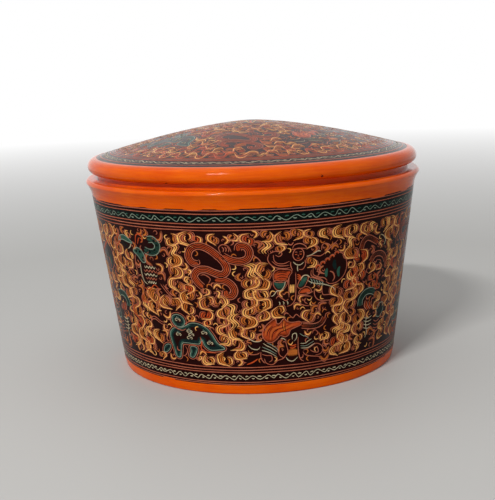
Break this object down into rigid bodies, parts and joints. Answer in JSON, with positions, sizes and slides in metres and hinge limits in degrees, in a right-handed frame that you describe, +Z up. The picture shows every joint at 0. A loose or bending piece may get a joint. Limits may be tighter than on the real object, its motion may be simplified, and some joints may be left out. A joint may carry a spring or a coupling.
{
  "type": "lacquer betel box",
  "caption": "Round tapered lacquer box on a foot hoop, with a flared rim, a lift-out tray on an inner ledge and a low domed lid that drops into the mouth.",
  "frame": {"origin": "centre of the foot on the surface that the box stands on", "axes": "+Z up along the axis of the box; the view of the picture looks along +Y"},
  "size_m": [0.13, 0.13, 0.0937],
  "materials": {
    "orange_lacquer": "high gloss lacquer",
    "engraved_lacquer": "high gloss lacquer, engraved and filled",
    "black_lacquer": "satin lacquer",
    "red_lacquer": "gloss lacquer",
    "bamboo": "bare split bamboo"
  },
  "bodies": {
    "body": {"foot_hoop": "orange_lacquer", "base_disc": "black_lacquer", "wall_core": "bamboo", "body_skin": "engraved_lacquer", "body_lining": "red_lacquer", "floor_lining": "red_lacquer", "ledge_hoop": "red_lacquer", "rim_hoop": "orange_lacquer"},
    "tray": {"tray_floor": "red_lacquer", "tray_wall": "red_lacquer", "tray_rim": "orange_lacquer"},
    "lid": {"lid_flange": "orange_lacquer", "lid_ring": "orange_lacquer", "lid_core": "bamboo", "lid_skin": "engraved_lacquer", "lid_lining": "red_lacquer"}
  },
  "joints": [
    {"name": "tray_lift", "type": "slide", "parent": "body", "child": "tray", "axis": [0, 0, 1], "range_m": [0, 0.06]},
    {"name": "lid_lift", "type": "slide", "parent": "tray", "child": "lid", "axis": [0, 0, 1], "range_m": [0, 0.06]}
  ]
}
